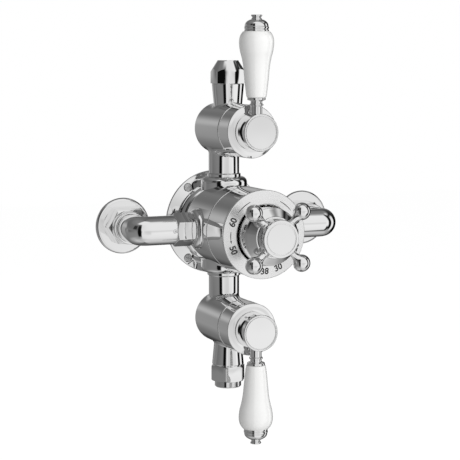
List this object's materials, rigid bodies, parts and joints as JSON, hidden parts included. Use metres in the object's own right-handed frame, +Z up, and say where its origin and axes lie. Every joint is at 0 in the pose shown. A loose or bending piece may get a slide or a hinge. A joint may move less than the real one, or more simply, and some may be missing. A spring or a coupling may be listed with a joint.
{
  "type": "thermostatic shower valve",
  "caption": "Exposed thermostatic shower valve: round body on wall elbows, cross handle for temperature, and a lever valve with a white china grip above and below for each outlet.",
  "frame": {"origin": "centre of the body at the wall, on the face of the wall", "axes": "+X to the right of a person facing the valve, +Z up, and +Y into the wall, so the valve stands on the -Y side"},
  "size_m": [0.1924, 0.125, 0.3164],
  "materials": {
    "chrome": "polished chrome plate on brass",
    "brass": "plain machined brass",
    "china": "white glazed porcelain",
    "ceramic": "lapped white alumina",
    "rubber": "black moulded rubber",
    "white_plastic": "moulded white acetal",
    "dark_plastic": "moulded dark grey plastic",
    "copper": "drawn copper capsule",
    "steel": "stainless steel"
  },
  "bodies": {
    "valve": {"wall_plate": "chrome", "wall_plate_screws": "chrome", "left_flange": "chrome", "right_flange": "chrome", "left_wall_nut": "chrome", "right_wall_nut": "chrome", "left_elbow": "chrome", "right_elbow": "chrome", "left_union_nut": "chrome", "right_union_nut": "chrome", "filter_washers": "rubber", "check_valves": "white_plastic", "body": "chrome", "front_cover": "chrome", "dial_plate": "chrome", "mixing_sleeve": "dark_plastic", "sleeve_o_rings": "rubber", "lock_nut": "brass", "stop_ring": "white_plastic", "return_spring": "steel", "neck_o_rings": "rubber", "riser_nut": "chrome", "riser_olive": "brass", "outlet_adapter": "chrome", "upper_valve_body": "chrome", "upper_bonnet": "chrome", "upper_cartridge": "brass", "upper_seat_seal": "rubber", "upper_fixed_disc": "ceramic", "lower_valve_body": "chrome", "lower_bonnet": "chrome", "lower_cartridge": "brass", "lower_seat_seal": "rubber", "lower_fixed_disc": "ceramic"},
    "temperature_handle": {"temperature_spindle": "brass", "handle_hub": "chrome", "handle_arms": "chrome", "handle_cap": "chrome", "handle_screw": "steel"},
    "shuttle": {"mixing_shuttle": "dark_plastic", "wax_element": "copper"},
    "upper_lever": {"upper_spindle": "brass", "upper_turning_disc": "ceramic", "upper_knob": "chrome", "upper_knob_cap": "chrome", "upper_knob_screw": "steel", "upper_lever_stem": "chrome", "upper_lever_grip": "china", "upper_lever_dome": "chrome", "upper_lever_button": "chrome"},
    "lower_lever": {"lower_spindle": "brass", "lower_turning_disc": "ceramic", "lower_knob": "chrome", "lower_knob_cap": "chrome", "lower_knob_screw": "steel", "lower_lever_stem": "chrome", "lower_lever_grip": "china", "lower_lever_dome": "chrome", "lower_lever_button": "chrome"}
  },
  "joints": [
    {"name": "temperature_turn", "type": "hinge", "parent": "valve", "child": "temperature_handle", "pos_m": [0, 0, 0], "axis": [0, -1, 0], "range_deg": [-120, 90]},
    {"name": "shuttle_slide", "type": "slide", "parent": "valve", "child": "shuttle", "axis": [0, -1, 0], "range_m": [-0.0021, 0.0016], "deforming": ["return_spring"]},
    {"name": "upper_lever_turn", "type": "hinge", "parent": "valve", "child": "upper_lever", "pos_m": [0, 0, 0.073], "axis": [0, -1, 0], "range_deg": [0, 90]},
    {"name": "lower_lever_turn", "type": "hinge", "parent": "valve", "child": "lower_lever", "pos_m": [0, 0, -0.073], "axis": [0, -1, 0], "range_deg": [0, 90]}
  ],
  "couplings": [
    {"joint": "shuttle_slide", "follows": "temperature_turn", "m_per_rad": 0.00095493}
  ]
}
